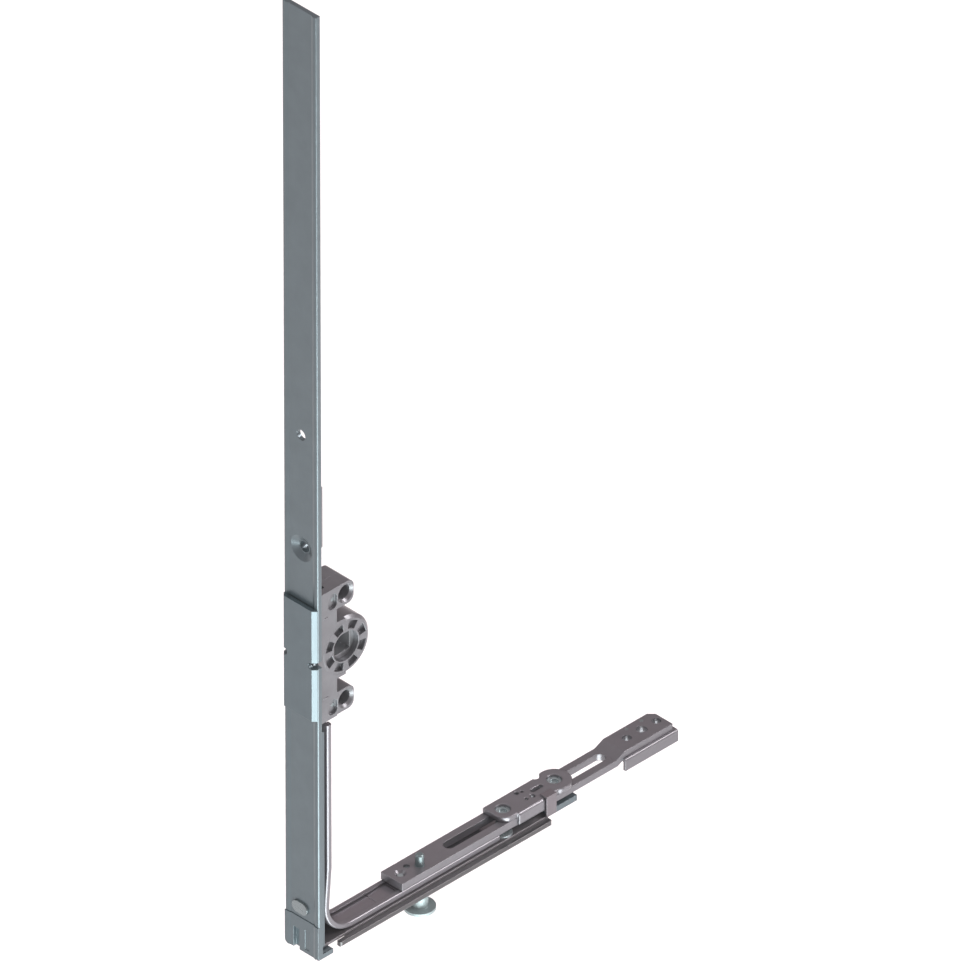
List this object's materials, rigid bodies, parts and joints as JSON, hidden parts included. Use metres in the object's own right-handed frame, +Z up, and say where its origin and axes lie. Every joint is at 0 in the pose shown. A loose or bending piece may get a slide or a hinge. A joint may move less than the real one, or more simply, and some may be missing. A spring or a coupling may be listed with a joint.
{
  "type": "window espagnolette gearbox",
  "caption": "Window espagnolette gearbox: pinion and rack in a ribbed case, faceplate, bent guide channel with spring band, drive bar, mushroom cam and adjustable coupler.",
  "frame": {"origin": "centre of the square spindle socket, on the middle plane of the case", "axes": "+Z up along the long faceplate, -X out of the faceplate's front face, +X along the lower leg, Y along the spindle"},
  "size_m": [0.1731, 0.016, 0.3913],
  "materials": {
    "zinc_plate": "zinc-plated steel, matt silver",
    "cast_zinc": "cast zinc, matt silver",
    "zinc_bar": "zinc-plated steel, satin",
    "hub_steel": "sintered steel, dark",
    "rivet_steel": "bright zinc-plated steel",
    "spring_steel": "blank spring steel"
  },
  "bodies": {
    "frame": {"faceplate": "zinc_plate", "screw_bush": "zinc_plate", "gear_plate": "zinc_plate", "case_front": "cast_zinc", "case_back": "cast_zinc", "case_rivets": "rivet_steel", "upper_strip": "zinc_plate", "lower_strip": "zinc_plate", "corner_piece": "zinc_plate", "corner_rivet": "rivet_steel", "channel_spacers": "rivet_steel", "guide_channel": "zinc_bar", "spring_band": "spring_steel", "lower_faceplate": "zinc_plate", "stop_rivet": "rivet_steel", "tongue": "zinc_plate", "tongue_rivets": "rivet_steel"},
    "hub": {"drive_pinion": "hub_steel"},
    "rod": {"rack": "cast_zinc", "drive_rod": "zinc_bar", "rod_block": "cast_zinc", "rod_rivets": "rivet_steel", "upper_band_end": "spring_steel", "upper_band_rivets": "rivet_steel"},
    "bar": {"drive_bar": "zinc_bar", "lower_band_end": "spring_steel", "bar_rivets": "rivet_steel", "cam_pin": "rivet_steel"},
    "cam": {"locking_cam": "rivet_steel"},
    "coupler": {"coupler_plate": "zinc_bar", "coupler_clip": "zinc_bar", "coupler_screws": "rivet_steel"},
    "extension": {"extension_bar": "zinc_bar", "end_angle": "zinc_bar", "angle_rivets": "rivet_steel"}
  },
  "joints": [
    {"name": "hub_turn", "type": "hinge", "parent": "frame", "child": "hub", "pos_m": [0, 0, 0], "axis": [0, 1, 0], "range_deg": [-90, 90]},
    {"name": "rod_slide", "type": "slide", "parent": "frame", "child": "rod", "axis": [0, 0, 1], "range_m": [-0.01336, 0.01336]},
    {"name": "bar_slide", "type": "slide", "parent": "frame", "child": "bar", "axis": [1, 0, 0], "range_m": [-0.01336, 0.01336]},
    {"name": "cam_turn", "type": "hinge", "parent": "bar", "child": "cam", "pos_m": [0.0391, -0.00115, -0.1248], "axis": [0, 0, 1], "continuous": true},
    {"name": "coupler_slide", "type": "slide", "parent": "bar", "child": "coupler", "axis": [1, 0, 0], "range_m": [-0.004, 0]},
    {"name": "extension_slide", "type": "slide", "parent": "coupler", "child": "extension", "axis": [1, 0, 0], "range_m": [-0.004, 0]}
  ],
  "couplings": [
    {"joint": "rod_slide", "follows": "hub_turn", "m_per_rad": 0.0085},
    {"joint": "bar_slide", "follows": "hub_turn", "m_per_rad": -0.0085}
  ]
}
